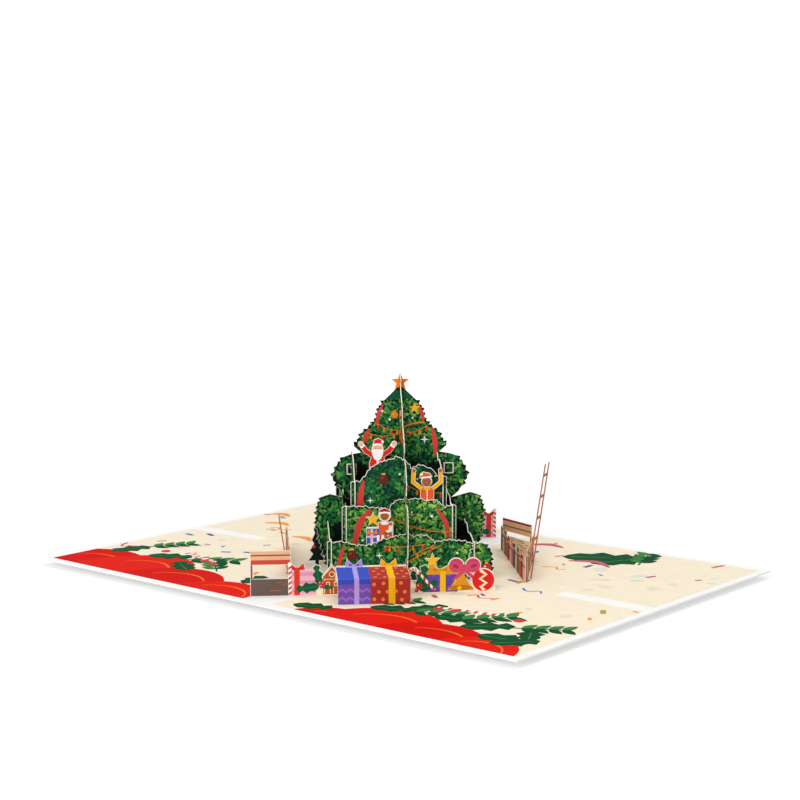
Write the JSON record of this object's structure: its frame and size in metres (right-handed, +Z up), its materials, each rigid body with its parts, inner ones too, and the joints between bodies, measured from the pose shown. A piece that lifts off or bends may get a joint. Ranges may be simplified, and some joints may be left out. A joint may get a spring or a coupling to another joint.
{
  "type": "pop up card",
  "caption": "Open greeting card with a slotted paper fir tree standing on its spine, among die-cut gifts, book rows, ladders and figures that fold flat with it.",
  "frame": {"origin": "on the table under the middle of the open card, below the spine", "axes": "+X across both pages to the right page, +Y along the spine to the back edge, +Z up along the tree"},
  "size_m": [0.296, 0.21, 0.0969],
  "materials": {
    "card_stock": "satin print on white card",
    "leaf_print": "satin leaf print, pale cut edges",
    "gift_print": "satin colour print, pale cut edges",
    "book_print": "satin colour print, pale cut edges",
    "figure_print": "satin colour print, pale cut edges"
  },
  "bodies": {
    "root": {"book_row_left": "book_print", "book_row_right": "book_print", "bush_front": "leaf_print", "card_base": "card_stock", "figure_gift_bringer": "figure_print", "figure_orange_vest": "figure_print", "figure_red_suit": "figure_print", "fir_back": "leaf_print", "gift_box_back": "gift_print", "gift_box_front": "gift_print", "gift_strip_back": "gift_print", "gift_strip_front": "gift_print", "ladder_left": "book_print", "ladder_right": "book_print", "lower_tier_back": "leaf_print", "lower_tier_front": "leaf_print", "lower_tier_left": "leaf_print", "lower_tier_right": "leaf_print", "middle_tier_back": "leaf_print", "middle_tier_front": "leaf_print", "middle_tier_left": "leaf_print", "middle_tier_right": "leaf_print", "shelf_left": "book_print", "shelf_right": "book_print", "tree_panel_face": "leaf_print", "tree_panel_side": "leaf_print", "upper_tier_back": "leaf_print", "upper_tier_front": "leaf_print", "upper_tier_left": "leaf_print", "upper_tier_right": "leaf_print"}
  },
  "joints": []
}
